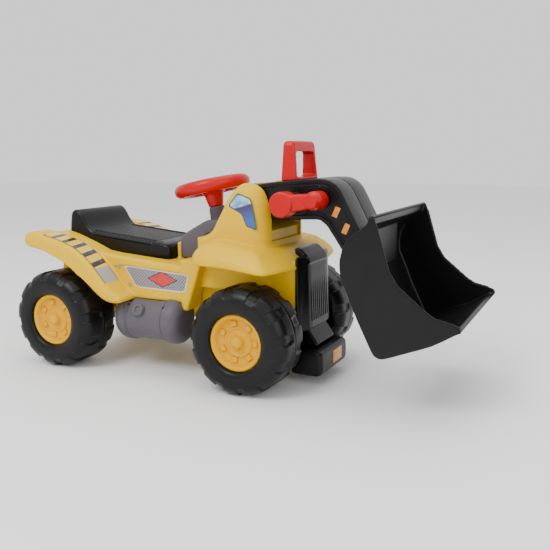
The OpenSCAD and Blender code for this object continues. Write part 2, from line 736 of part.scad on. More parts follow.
// ---- Bucket ----
bucket_outline = concat(bucket_rim, bucket_back);
bucket_inner = concat([[620, 190], [520, 480]],
  [for (i = [len(bucket_rim):len(bucket_outline) - 1]) inset_point(bucket_outline, i, bucket_t)]);
pocket = [[276, 262], [322, 262], [322, 352], [276, 352]];
module bucket() {
  color(black) difference() {
    union() {
      difference() {
        side_slab(bucket_outline, -bucket_y, bucket_y);
        side_slab(bucket_inner, bucket_t - bucket_y, bucket_y - bucket_t);
      }
      intersection() {
        side_slab(inset(pocket, -bucket_t), -boom_y - 7, boom_y + 7);
        side_slab(bucket_outline, -bucket_y, bucket_y);
      }
      both_sides() {
        bar_y(bucket_pivot, 15, boom_y + 3, boom_y + 10);
        side_slab([bucket_pivot + [0, -15], [304, 283], [304, 313], bucket_pivot + [0, 15]],
          boom_y + 3, boom_y + 10);
      }
    }
    side_slab(pocket, -boom_y - 3, boom_y + 3);
    bar_y(bucket_pivot, boom_pin_r + run_gap, -boom_y - 20, boom_y + 20);
  }
  color(black) difference() {
    both_sides() {
      bar_y(bucket_pivot + [0, curl_crank], 8, 4.6, 9);
      side_slab([bucket_pivot + [0, curl_crank - 8], [324, 312], [324, 334],
        bucket_pivot + [0, curl_crank + 8]], 4.6, 9);
    }
    bar_y(bucket_pivot + [0, curl_crank], crank_pin_r, -10, 10);
  }
}
module crank_pin() color(steel) bar_y(bucket_pivot + [0, curl_crank], crank_pin_r, -9, 9);

// ---- Stickers ----
module hazard_stickers() {
  band = [for (i = [2:7]) fender_top[i]];
  color(orange) both_sides()
    side_slab(concat(band, reversed([for (p = band) p + [0.3, sticker_t]])), tub_y + 6, fender_y - 8);
}
module side_stickers() {
  color(grey) both_sides() side_slab([[-254, 240], [-222, 191], [-89, 188], [-78, 229]],
    tub_y - panel_deep, tub_y - panel_deep + sticker_t);
}
module window_stickers() {
  color(sky) both_sides()
    side_slab([[81, 331], [74, 370], [67, 397], [35, 409], [11, 380], [44, 364], [55, 338]], cab_y, cab_y + sticker_t);
}
module bumper_sticker() color(orange) block(sticker_low, sticker_high);

rear_body();
front_body();
console();
grille();
bumper();
left_tank();
right_tank();
tank_caps();
tank_screws();
panel_screws();
rear_axle();
axle_bushes();
rear_axle_caps();
front_beam();
kingpins();
column_bush();
floor_bush();
boom_pin();
seat_hinge_pin();
hazard_stickers();
side_stickers();
window_stickers();
bumper_sticker();
seat();
steering_wheel();
steering_rod();
wheel_cap();
tie_bar();
left_knuckle();
right_knuckle();
left_knuckle_cap();
right_knuckle_cap();
rear_left_tyre();
rear_left_hub();
rear_left_sleeve();
rear_right_tyre();
rear_right_hub();
rear_right_sleeve();
front_left_tyre();
front_left_hub();
front_left_sleeve();
front_right_tyre();
front_right_hub();
front_right_sleeve();
boom_left();
boom_right();
loop_handle();
boom_screws();
boom_stickers();
bucket_pin();
left_lever();
right_lever();
lever_shaft();
push_rod();
bucket();
crank_pin();
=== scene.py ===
import json
import math

import bmesh
import bpy
from mathutils import Matrix, Vector


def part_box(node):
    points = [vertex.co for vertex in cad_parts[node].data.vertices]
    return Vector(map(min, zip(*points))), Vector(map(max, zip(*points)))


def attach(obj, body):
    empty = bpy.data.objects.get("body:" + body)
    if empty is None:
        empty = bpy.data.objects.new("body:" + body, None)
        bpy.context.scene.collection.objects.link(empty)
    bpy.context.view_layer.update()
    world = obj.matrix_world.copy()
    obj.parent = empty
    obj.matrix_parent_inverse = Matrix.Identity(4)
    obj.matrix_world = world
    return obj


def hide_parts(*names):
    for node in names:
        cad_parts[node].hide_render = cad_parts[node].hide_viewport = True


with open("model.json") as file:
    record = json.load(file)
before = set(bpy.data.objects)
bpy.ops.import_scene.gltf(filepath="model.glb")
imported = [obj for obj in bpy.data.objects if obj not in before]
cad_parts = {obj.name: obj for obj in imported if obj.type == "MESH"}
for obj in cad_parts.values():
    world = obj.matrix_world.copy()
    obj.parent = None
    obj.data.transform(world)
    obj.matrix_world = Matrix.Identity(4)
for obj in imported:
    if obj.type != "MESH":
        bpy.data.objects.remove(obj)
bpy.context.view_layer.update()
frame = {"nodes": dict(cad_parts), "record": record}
MM = 0.001


# ---------------------------------------------------------------- node materials
def new_material(name):
    mat = bpy.data.materials.new(name)
    mat.use_nodes = True
    nodes, links = mat.node_tree.nodes, mat.node_tree.links
    return mat, nodes, links, nodes["Principled BSDF"]


def coords(nodes, links, scale=(1, 1, 1)):
    where = nodes.new("ShaderNodeTexCoord")
    move = nodes.new("ShaderNodeMapping")
    move.inputs["Scale"].default_value = scale
    links.new(where.outputs["Object"], move.inputs["Vector"])
    return move.outputs["Vector"]


def noise(nodes, links, vector, scale, detail=4.0, rough=0.55):
    tex = nodes.new("ShaderNodeTexNoise")
    tex.inputs["Scale"].default_value = scale
    tex.inputs["Detail"].default_value = detail
    tex.inputs["Roughness"].default_value = rough
    links.new(vector, tex.inputs["Vector"])
    return tex.outputs["Fac"]


def spread(nodes, links, value, low, high, to_low, to_high):
    m = nodes.new("ShaderNodeMapRange")
    for socket, number in zip(("From Min", "From Max", "To Min", "To Max"), (low, high, to_low, to_high)):
        m.inputs[socket].default_value = number
    links.new(value, m.inputs["Value"])
    return m.outputs["Result"]


def blend_colour(nodes, links, fac, a, b):
    m = nodes.new("ShaderNodeMix")
    m.data_type = "RGBA"
    for socket, value in ((m.inputs["Factor"], fac), (m.inputs[6], a), (m.inputs[7], b)):
        if isinstance(value, tuple):
            socket.default_value = (*value, 1)
        elif isinstance(value, float):
            socket.default_value = value
        else:
            links.new(value, socket)
    return m.outputs[2]


def math_node(nodes, links, op, a, b=0.0):
    m = nodes.new("ShaderNodeMath")
    m.operation = op
    for socket, value in zip(m.inputs, (a, b)):
        if isinstance(value, (int, float)):
            socket.default_value = value
        else:
            links.new(value, socket)
    return m.outputs["Value"]


def surface_bump(nodes, links, bsdf, parts, bevel=0.0):
    """Adds bumps, each (height, strength, distance in metres), over a rounded-edge normal."""
    normal = None
    if bevel:
        edge = nodes.new("ShaderNodeBevel")
        edge.samples = 4
        edge.inputs["Radius"].default_value = bevel
        normal = edge.outputs["Normal"]
    for height, strength, distance in parts:
        bump = nodes.new("ShaderNodeBump")
        bump.inputs["Strength"].default_value = strength
        bump.inputs["Distance"].default_value = distance
        links.new(height, bump.inputs["Height"])
        if normal is not None:
            links.new(normal, bump.inputs["Normal"])
        normal = bump.outputs["Normal"]
    if normal is not None:
        links.new(normal, bsdf.inputs["Normal"])


def moulded(name, colour, shade, roughness, coat=0.0, grain=0.25, dust=0.0, bevel=0.0, specular=0.4):
    """Moulded plastic: mottled pigment, flow marks, fine grain and handling scuffs."""
    mat, nodes, links, bsdf = new_material(name)
    at = coords(nodes, links)
    mottle = spread(nodes, links, noise(nodes, links, at, 7, 5), 0.35, 0.68, 0, 1)
    flow = spread(nodes, links, noise(nodes, links, coords(nodes, links, (3, 3, 12)), 9, 3), 0.4, 0.65, 0, 0.5)
    base = blend_colour(nodes, links, mottle, colour, shade)
    base = blend_colour(nodes, links, flow, base, tuple(0.94 * c for c in colour))
    if dust:
        speck = spread(nodes, links, noise(nodes, links, at, 160, 3, 0.7), 0.6, 0.75, 0, dust)
        base = blend_colour(nodes, links, speck, base, (0.52, 0.5, 0.46))
    links.new(base, bsdf.inputs["Base Color"])
    scuff = noise(nodes, links, coords(nodes, links, (30, 30, 140)), 4, 6, 0.65)
    rough = spread(nodes, links, scuff, 0.35, 0.7, roughness - 0.05, roughness + 0.09)
    links.new(rough, bsdf.inputs["Roughness"])
    bsdf.inputs["Coat Weight"].default_value = coat
    bsdf.inputs["Coat Roughness"].default_value = 0.22
    bsdf.inputs["IOR"].default_value = 1.49
    bsdf.inputs["Specular IOR Level"].default_value = specular
    fine = noise(nodes, links, at, 900, 2)
    wave = noise(nodes, links, at, 22, 2)
    surface_bump(nodes, links, bsdf, [(wave, 0.18, 0.0016), (fine, grain, 0.00012)], bevel)
    return mat


def metal(name, colour, roughness, stretch=(1, 40, 1)):
    mat, nodes, links, bsdf = new_material(name)
    brushed = noise(nodes, links, coords(nodes, links, stretch), 60, 4)
    stain = spread(nodes, links, noise(nodes, links, coords(nodes, links), 30, 5), 0.45, 0.7, 0, 0.4)
    links.new(blend_colour(nodes, links, stain, colour, tuple(0.7 * c for c in colour)), bsdf.inputs["Base Color"])
    links.new(spread(nodes, links, brushed, 0.3, 0.7, roughness - 0.06, roughness + 0.1), bsdf.inputs["Roughness"])
    bsdf.inputs["Metallic"].default_value = 1.0
    surface_bump(nodes, links, bsdf, [(brushed, 0.15, 0.0001)], 0.0004)
    return mat


YELLOW = moulded("yellow_plastic", (0.76, 0.475, 0.0), (0.70, 0.42, 0.0), 0.38, specular=0.18)
HUB = moulded("hub_plastic", (0.74, 0.38, 0.0), (0.66, 0.32, 0.0), 0.38, specular=0.18)
TYRE = moulded("tyre_plastic", (0.0035, 0.0035, 0.004), (0.006, 0.006, 0.007), 0.36, 0.02, 0.35, 0.01, specular=0.22)
BLACK = moulded("black_plastic", (0.003, 0.003, 0.0035), (0.006, 0.006, 0.007), 0.34, 0.03, 0.3, specular=0.22)
BLACK_EDGED = moulded("black_plastic_edged", (0.003, 0.003, 0.0035), (0.006, 0.006, 0.007), 0.34, 0.03, 0.3,
                      bevel=0.0015, specular=0.22)
GREY = moulded("grey_plastic", (0.100, 0.091, 0.106), (0.082, 0.074, 0.088), 0.42, specular=0.25)
RED = moulded("red_plastic", (0.50, 0.0, 0.002), (0.40, 0.0, 0.002), 0.32, specular=0.25)
NYLON = moulded("nylon", (0.78, 0.76, 0.70), (0.72, 0.69, 0.62), 0.48, 0.0, 0.2, 0.05, 0.0005)
STEEL = metal("zinc_steel", (0.62, 0.63, 0.65), 0.30)


def sticker_base(name, roughness=0.3):
    """A printed vinyl sticker's shader, with orange-peel bump."""
    mat, nodes, links, bsdf = new_material(name)
    at = coords(nodes, links)
    peel = noise(nodes, links, at, 260, 2)
    surface_bump(nodes, links, bsdf, [(peel, 0.12, 0.0002)])
    links.new(spread(nodes, links, noise(nodes, links, at, 40, 4), 0.3, 0.7, roughness - 0.05, roughness + 0.1),
              bsdf.inputs["Roughness"])
    bsdf.inputs["Coat Weight"].default_value = 0.2
    return mat, nodes, links, bsdf


def axis_value(nodes, links, which):
    split = nodes.new("ShaderNodeSeparateXYZ")
    where = nodes.new("ShaderNodeTexCoord")
    links.new(where.outputs["Object"], split.inputs["Vector"])
    return split.outputs[which]


def uv_value(nodes, links, which):
    split = nodes.new("ShaderNodeSeparateXYZ")
    uv = nodes.new("ShaderNodeUVMap")
    uv.uv_map = "UVMap"
    links.new(uv.outputs["UV"], split.inputs["Vector"])
    return split.outputs[which]


def step(nodes, links, value, edge, soft=0.001):
    return spread(nodes, links, value, edge - soft, edge + soft, 0.0, 1.0)


def worn(nodes, links, colour, amount=0.18):
    """Slight print unevenness over a colour."""
    fac = spread(nodes, links, noise(nodes, links, coords(nodes, links), 55, 5, 0.6), 0.5, 0.75, 0, amount)
    return blend_colour(nodes, links, fac, colour, (0.35, 0.33, 0.3))


def hazard_material():
    mat, nodes, links, bsdf = sticker_base("hazard_print")
    u, v = uv_value(nodes, links, "X"), uv_value(nodes, links, "Y")
    slant = math_node(nodes, links, "ADD", math_node(nodes, links, "MULTIPLY", u, 6.5),
                      math_node(nodes, links, "MULTIPLY", v, 1.5))
    wave = math_node(nodes, links, "FRACT", slant)
    stripe = step(nodes, links, wave, 0.6, 0.02)
    colour = blend_colour(nodes, links, stripe, (0.80, 0.50, 0.004), (0.006, 0.005, 0.005))
    grit = spread(nodes, links, noise(nodes, links, coords(nodes, links), 420, 3), 0.4, 0.6, 0.7, 1.0)
    plate = blend_colour(nodes, links, grit, (0.13, 0.12, 0.13), (0.34, 0.33, 0.34))
    colour = blend_colour(nodes, links, step(nodes, links, u, 0.2, 0.004), plate, colour)
    edge = math_node(nodes, links, "ABSOLUTE", math_node(nodes, links, "SUBTRACT", v, 0.075))
    colour = blend_colour(nodes, links, step(nodes, links, edge, 0.070, 0.002), colour, (0.05, 0.04, 0.03))
    links.new(worn(nodes, links, colour), bsdf.inputs["Base Color"])
    return mat


def side_material(box):
    """A tread-plate print with a pale border and a plain diamond towards the front."""
    mat, nodes, links, bsdf = sticker_base("side_print", 0.34)
    low, high = box
    x, z = axis_value(nodes, links, "X"), axis_value(nodes, links, "Z")
    ridges = []
    for op in ("ADD", "SUBTRACT"):
        turns = math_node(nodes, links, "MULTIPLY", math_node(nodes, links, op, x, z), 125.0)
        part = math_node(nodes, links, "SUBTRACT", math_node(nodes, links, "FRACT", turns), 0.5)
        ridges.append(math_node(nodes, links, "ABSOLUTE", part))
    tread = step(nodes, links, math_node(nodes, links, "MULTIPLY", *ridges), 0.07, 0.03)
    plate = blend_colour(nodes, links, tread, (0.12, 0.115, 0.125), (0.33, 0.32, 0.34))
    sides = []
    size = high - low
    for value, middle, half in ((x, low.x + size.x * 0.60, 0.042), (z, low.z + size.z * 0.50, 0.019)):
        away = math_node(nodes, links, "SUBTRACT", value, middle)
        sides.append(math_node(nodes, links, "ABSOLUTE", math_node(nodes, links, "MULTIPLY", away, 1 / half)))
    diamond = math_node(nodes, links, "ADD", *sides)
    dark = blend_colour(nodes, links, step(nodes, links, diamond, 1.0, 0.02), (0.02, 0.018, 0.02), plate)
    label = blend_colour(nodes, links, step(nodes, links, diamond, 0.86, 0.02), (0.55, 0.006, 0.01), dark)
    inside = step(nodes, links, uv_value(nodes, links, "Y"), 0.5, 0.02)
    label = blend_colour(nodes, links, inside, (0.62, 0.61, 0.62), label)
    links.new(worn(nodes, links, label, 0.12), bsdf.inputs["Base Color"])
    return mat


def window_material(box):
    mat, nodes, links, bsdf = sticker_base("window_print", 0.18)
    low, high = box
    z = axis_value(nodes, links, "Z")
    x = axis_value(nodes, links, "X")
    tilt = math_node(nodes, links, "ADD", z, math_node(nodes, links, "MULTIPLY", x, -0.28))
    up = spread(nodes, links, tilt, low.z, high.z, 0, 1)
    cloud = spread(nodes, links, noise(nodes, links, coords(nodes, links), 38, 4), 0.42, 0.62, 0, 1)
    sky = blend_colour(nodes, links, cloud, (0.10, 0.30, 0.55), (0.60, 0.78, 0.88))
    depth = spread(nodes, links, up, 0.05, 0.45, 0, 1)
    deep = blend_colour(nodes, links, depth, (0.03, 0.10, 0.34), (0.05, 0.02, 0.10))
    colour = blend_colour(nodes, links, step(nodes, links, up, 0.47, 0.02), deep, sky)
    line = uv_value(nodes, links, "Y")
    colour = blend_colour(nodes, links, step(nodes, links, line, 0.5, 0.02), (0.035, 0.075, 0.065), colour)
    links.new(colour, bsdf.inputs["Base Color"])
    return mat


def orange_material():
    mat, nodes, links, bsdf = sticker_base("orange_print", 0.25)
    grain = spread(nodes, links, noise(nodes, links, coords(nodes, links), 120, 4), 0.35, 0.65, 0, 1)
    links.new(blend_colour(nodes, links, grain, (0.82, 0.27, 0.006), (0.66, 0.19, 0.004)), bsdf.inputs["Base Color"])
    return mat


# ---------------------------------------------------------------- mesh builders, in millimetres
def chaikin(points, times=2, cut=0.22, closed=True):
    for _ in range(times):
        out = []
        count = len(points)
        for i in range(count if closed else count - 1):
            a, b = Vector(points[i]), Vector(points[(i + 1) % count])
            out += [a.lerp(b, cut), a.lerp(b, 1 - cut)]
        if not closed:
            out = [Vector(points[0]), *out, Vector(points[-1])]
        points = out
    return [Vector(p) for p in points]


def offset(points, d):
    """A closed anticlockwise outline moved inwards by d."""
    out = []
    n = len(points)
    for i in range(n):
        a, b, c = points[i - 1], points[i], points[(i + 1) % n]
        u, v = (b - a).normalized(), (c - b).normalized()
        m = Vector((-u.y, u.x)) + Vector((-v.y, v.x))
        m = m.normalized() if m.length > 1e-6 else Vector((-u.y, u.x))
        scale = 1 / max(0.5, m.dot(Vector((-u.y, u.x))))
        out.append(b + m * d * scale)
    return out


def area(points):
    return sum(a.x * b.y - b.x * a.y for a, b in zip(points, points[1:] + points[:1])) / 2


def build(name, verts, faces):
    mesh = bpy.data.meshes.new(name)
    mesh.from_pydata([Vector(v) * MM for v in verts], [], faces)
    mesh.validate()
    obj = bpy.data.objects.new(name, mesh)
    bpy.context.scene.collection.objects.link(obj)
    bm = bmesh.new()
    bm.from_mesh(mesh)
    bmesh.ops.remove_doubles(bm, verts=bm.verts, dist=1e-6)
    bmesh.ops.recalc_face_normals(bm, faces=bm.faces)
    bm.to_mesh(mesh)
    bm.free()
    return obj


def loft(name, rings, caps=True):
    """Joins closed rings of the same length into one skin."""
    n = len(rings[0])
    verts = [p for ring in rings for p in ring]
    faces = []
    for k in range(len(rings) - 1):
        for i in range(n):
            j = (i + 1) % n
            faces.append((k * n + i, k * n + j, (k + 1) * n + j, (k + 1) * n + i))
    if caps:
        faces.append(tuple(reversed(range(n))))
        faces.append(tuple((len(rings) - 1) * n + i for i in range(n)))
    return build(name, verts, faces)


def pillow(name, outline, low, high, r, plane="XZ", steps=5, smooth=2, cut=0.22):
    """An outline extruded from low to high across the plane, with edges rounded to r."""
    points = chaikin(outline, smooth, cut) if smooth else [Vector(p) for p in outline]
    if area(points) < 0:
        points.reverse()
    rings = []
    for k in range(steps + 1):
        a = math.pi / 2 * k / steps
        rings.append((low + r - r * math.cos(a), offset(points, r - r * math.sin(a))))
    for k in range(steps + 1):
        a = math.pi / 2 * k / steps
        rings.append((high - r + r * math.sin(a), offset(points, r - r * math.cos(a))))
    order = {"XZ": (0, 2, 1), "YZ": (2, 0, 1), "XY": (0, 1, 2)}[plane]
    return loft(name, [[tuple((p.x, p.y, t)[i] for i in order) for p in ring] for t, ring in rings])


def round_box(name, low, high, r, steps=4):
    x0, y0, z0 = low
    x1, y1, z1 = high
    r = min(r, (x1 - x0) / 2.1, (y1 - y0) / 2.1, (z1 - z0) / 2.1)
    corners = [(x1 - r, z1 - r, 0), (x0 + r, z1 - r, 90), (x0 + r, z0 + r, 180), (x1 - r, z0 + r, 270)]
    outline = [(cx + r * math.cos(math.radians(a + t)), cz + r * math.sin(math.radians(a + t)))
               for cx, cz, a in corners for t in (0, 22.5, 45, 67.5, 90)]
    return pillow(name, outline, y0, y1, r, smooth=0, steps=steps)


def revolve(name, profile, segments=96, wobble=None):
    """A closed skin from [radius, height] points about Z. wobble(angle, radius, height) changes a radius."""
    rings = []
    for r, h in profile:
        ring = []
        for i in range(segments):
            a = 2 * math.pi * i / segments
            rr = wobble(a, r, h) if wobble else r
            ring.append((rr * math.cos(a), rr * math.sin(a), h))
        rings.append(ring)
    return loft(name, rings)


def place(obj, matrix):
    obj.data.transform(matrix)
    return obj


def mirror(obj):
    """Moves a piece to the other side of the toy."""
    obj.data.transform(Matrix.Scale(-1, 4, (0, 1, 0)))
    obj.data.flip_normals()


def join(name, objects):
    bpy.ops.object.select_all(action="DESELECT")
    for o in objects:
        o.select_set(True)
    bpy.context.view_layer.objects.active = objects[0]
    bpy.ops.object.join()
    objects[0].name = name
    return objects[0]


def apply_modifiers(obj):
    dg = bpy.context.evaluated_depsgraph_get()
    mesh = bpy.data.meshes.new_from_object(obj.evaluated_get(dg))
    obj.modifiers.clear()
    obj.data = mesh
    return obj


def cut(obj, *cutters):
    for c in cutters:
        m = obj.modifiers.new("cut", "BOOLEAN")
        m.operation, m.solver, m.object = "DIFFERENCE", "MANIFOLD", c
    bpy.context.view_layer.update()
    apply_modifiers(obj)
    for c in cutters:
        bpy.data.objects.remove(c)
    return obj


def knead(obj, voxel, turns):
    """Fuses overlapping solids into one moulding and softens every edge."""
    m = obj.modifiers.new("fuse", "REMESH")
    m.mode, m.voxel_size = "VOXEL", voxel * MM
    s = obj.modifiers.new("soften", "SMOOTH")
    s.factor, s.iterations = 0.5, turns
    bpy.context.view_layer.update()
    return apply_modifiers(obj)


def span(obj):
    xs = [v.co for v in obj.data.vertices]
    return [min(v[i] for v in xs) for i in range(3)], [max(v[i] for v in xs) for i in range(3)]


def snap(obj, node, axes=(0, 1, 2)):
    """Fits a piece to its CAD node's box."""
    low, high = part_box(node)
    a, b = span(obj)
    for v in obj.data.vertices:
        for i in axes:
            v.co[i] = low[i] + (v.co[i] - a[i]) * (high[i] - low[i]) / (b[i] - a[i])
    return obj


def dress(obj, material, body, nodes=(), angle=40):
    obj.data.materials.clear()
    obj.data.materials.append(material)
    obj.data.shade_smooth()
    obj.data.set_sharp_from_angle(angle=math.radians(angle))
    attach(obj, body)
    if nodes:
        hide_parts(*nodes)
    return obj


# ---------------------------------------------------------------- rear body
TUB_Y, FENDER_Y, CAB_Y = 134.0, 196.0, 109.0
CORE_Y, FRAME_Y, BUCKET_Y, STICKER_T = 82, 92, 191, 0.4
SEAT_Y, SEAT_LUG_Y, SLOT_Y = 88, 33, 74.5
# joint centres in the side view, and the tank's middle
SEAT_PIVOT, BOOM_PIVOT, LEVER_PIVOT, GRIP = (-152, 282), (75, 389.5), (144, 387), (209, 395.5)
TANK_AT, TANK_HALF, TANK_R, TANK_SCREW_X = (-179, 118, 121), 88, 53, (-226, -131)
NUTS, NUT_R, NUT_HALF = 7, 39, 6
TREAD_BLOCKS, TYRE_ROUND = 12, 28


def shift(x, y, z):
    """A move given in millimetres."""
    return Matrix.Translation(Vector((x, y, z)) * MM)


fender_line = [(-222, 176), (-243, 184), (-267, 212), (-304, 253), (-330, 273), (-357, 287), (-395, 299),
               (-438, 308), (-470, 313), (-484, 312), (-494, 305), (-497, 290), (-494, 281), (-487, 277),
               (-452, 271), (-420, 262), (-381, 248), (-350, 230), (-319, 204), (-290, 180), (-270, 167),
               (-248, 161), (-222, 164)]
tub_line = [(-480, 250), (-340, 250), (-285, 205), (-262, 165), (-78, 165), (-78, 246), (-315, 264), (-357, 281),
            (-415, 301), (-449, 309), (-458, 305), (-464, 273), (-482, 271)]
frame_line = [(-440, 96), (-376, 96), (-350, 125), (-78, 125), (-78, 245), (-470, 260), (-478, 200), (-470, 150)]
wing_line = [(-92, 148), (-84, 148), (-50, 244), (-44, 261.5), (-100, 261.5), (-100, 148)]
panel_line = [(-286, 244), (-256, 200), (-232, 186), (-84, 184), (-72, 232)]


def rear_body():
    parts = [pillow("tub", tub_line, -TUB_Y, TUB_Y, 7, smooth=1, cut=0.12)]
    cut(parts[0], round_box("bed", (-456, -89, 250), (-157, 89, 330), 4))
    for s in (-1, 1):
        a, b = sorted((s * 120, s * FENDER_Y))
        parts.append(pillow("fender", fender_line, a, b, 13, smooth=2))
        a, b = sorted((s * 84, s * TUB_Y))
        parts.append(pillow("wing", wing_line, a, b, 6, smooth=0))
    parts.append(pillow("frame", frame_line, -FRAME_Y, FRAME_Y, 4, smooth=0))
    parts.append(round_box("ridge", (-156.5, -58, 238), (-146, 58, 289), 3))
    body = knead(join("rear_body_moulding", parts), 2.2, 3)
    cut(body, *[pillow("panel", panel_line, *sorted((s * 130.2, s * 140)), 0.5, smooth=1, cut=0.15) for s in (-1, 1)],
        round_box("store", (-404, -64, 140), (-205, 64, 275), 5),
        *[round_box("notch", (-161, y - 8.3, 273), (-140, y + 8.3, 300), 0.5) for y in (-SEAT_LUG_Y, SEAT_LUG_Y)])
    snap(body, "rear_body")
    dress(body, YELLOW, "chassis", ["rear_body"], 35)


# ---------------------------------------------------------------- front body
def at_height(table, z):
    """Reads a value at height z from (height, value) pairs in rising order."""
    for (z0, v0), (z1, v1) in zip(table, table[1:]):
        if z <= z1:
            return v0 + (v1 - v0) * max(0.0, (z - z0) / (z1 - z0))
    return table[-1][1]


def plan(x0, x1, y, r0, r1, steps=7):
    """A rectangle in plan with rear corners r0 and front corners r1."""
    out = []
    for cx, cy, r, a in ((x1 - r1, y - r1, r1, 0), (x0 + r0, y - r0, r0, 90), (x0 + r0, r0 - y, r0, 180),
                         (x1 - r1, r1 - y, r1, 270)):
        turns = [math.radians(a + 90 * k / steps) for k in range(steps + 1)]
        out += [(cx + r * math.cos(t), cy + r * math.sin(t)) for t in turns]
    return out


def cab():
    front = [(200, 98), (352, 98), (371, 95), (387, 91), (401, 86), (410, 81), (416, 76), (421, 69), (425, 60),
             (427.4, 48)]
    rear = [(200, -78), (308, -78), (310, -64), (318, -46), (326, -37), (388, -2), (408, 12), (417, 21), (421, 26),
            (425, 33), (427.4, 40)]
    side = [(200, CAB_Y), (400, CAB_Y), (412, CAB_Y - 2), (419, CAB_Y - 5.5), (424, CAB_Y - 11), (427.4, CAB_Y - 22)]
    rings = []
    for z in (200, 262, 300, 308, 310, 314, 318, 322, 326, 340, 352, 362, 371, 380, 388, 395, 401, 406, 410, 413, 416,
              419, 421, 423, 425, 426.4, 427.4):
        x0, x1, y = at_height(rear, z), at_height(front, z), at_height(side, z)
        most = (x1 - x0) * 0.45
        rings.append([(*p, z) for p in plan(x0, x1, y, min(26, most), min(38, most))])
    return loft("cab", rings)


def hood():
    half = [(-50, -150), (-46, -168), (-36, -182), (-22, -191), (-4, -195.5), (118, -196), (132, -190), (140, -178),
            (152, -130), (160, -92), (161, -60)]
    outline = half + [(x, -y) for x, y in reversed(half)]
    outline = [Vector(p) for p in chaikin(outline, 2)]
    if area(outline) < 0:
        outline.reverse()
    top = [(-60, 308), (0, 308), (60, 303), (98, 294), (130, 280), (161, 266)]
    under = [(-60, 262), (50, 262), (90, 257), (132, 250), (170, 250)]
    rings = []
    steps = 12
    for k in range(steps + 1):
        a = math.pi / 2 * k / steps
        shrink, rise = 52 * (1 - math.cos(a)), math.sin(a)
        ring = []
        for p in offset(outline, shrink) if shrink > 0 else outline:
            low = at_height(under, p.x) + 3
            ring.append((p.x, p.y, low + (at_height(top, p.x) - low) * rise))
        rings.append(ring)
    lip = [(p.x, p.y, at_height(under, p.x)) for p in offset(outline, 1.5)]
    return loft("hood", [lip, *rings])


def front_body():
    shell = join("front_body_moulding", [cab(), hood(), round_box("core", (-78, -CORE_Y, 134), (161, CORE_Y, 266), 5)])
    knead(shell, 2.2, 4)
    slot_line = [(32, 470), (32, 370), (44, 350), (60, 342), (92, 328), (92, 304), (128, 304), (128, 470)]
    cut(shell, pillow("slot", slot_line, -SLOT_Y, SLOT_Y, 2, smooth=1, cut=0.08))
    snap(shell, "front_body")
    dress(shell, YELLOW, "chassis", ["front_body"], 35)


# ---------------------------------------------------------------- console, grille, bumper, tanks
COLUMN = shift(-92, 0, 415) @ Matrix.Rotation(-math.radians(12), 4, "Y")


def console():
    line = [(-145.6, 251.8), (-78.4, 250.3), (-78.4, 309.5), (-62, 311.5), (-47, 319.5), (-38.5, 327.5), (-30, 343),
            (-50, 345), (-77, 343), (-126, 316), (-145.6, 301.5)]
    base = pillow("console_moulding", line, -60, 60, 7, smooth=2, cut=0.15)
    collar = revolve("collar", [(0.5, -90), (23, -90), (20, -72), (18.8, -60), (18.5, -50), (17, -46.4),
                                (0.5, -46.4)], 48)
    place(collar, COLUMN)
    knead(join("console_moulding", [base, collar]), 1.6, 3)
    snap(base, "console", (0, 1))
    dress(base, GREY, "chassis", ["console"], 50)


def grille():
    face = [(161.4, -85), (165, -82), (178, -51), (178, 51), (165, 82), (161.4, 85), (155, 85), (155, -85)]
    body = pillow("grille_moulding", face, 113, 275, 6, "XY", smooth=1, cut=0.1)
    for v in body.data.vertices:
        over = v.co.z / MM - 250
        if over > 0:
            v.co.x -= MM * max(0.0, v.co.x / MM - 158) * (over / 34) ** 2
    ribs = [round_box("slot", (173.5, i * 11 - 3, 132), (184, i * 11 + 3, 246), 2.4) for i in range(-4, 5)]
    lip_line = [(140, 276.5), (161.4, 266.8), (176, 257), (168, 275), (152, 289), (140, 290)]
    lip = pillow("lip", lip_line, -51, 51, 3, smooth=1, cut=0.15)
    plate = pillow("plate", [(162, 78), (190, 78), (192, 84), (170, 116), (162, 116)], -50, 50, 3, smooth=1, cut=0.1)
    knead(join("grille_moulding", [body, lip, plate]), 1.6, 4)
    cut(body, *ribs)
    snap(body, "grille")
    dress(body, BLACK_EDGED, "chassis", ["grille"], 35)


def bumper():
    line = [(140, 22), (146, 18), (200, 18), (210, 22), (214, 32), (214, 66), (206, 74.5), (140, 74.5)]
    nose = pillow("bumper_moulding", line, -76, 76, 8, smooth=2)
    post = round_box("post", (112, -60, 40), (146, 60, 133.6), 5)
    knead(join("bumper_moulding", [nose, post]), 1.8, 3)
    snap(nose, "bumper")
    dress(nose, BLACK, "chassis", ["bumper"], 45)


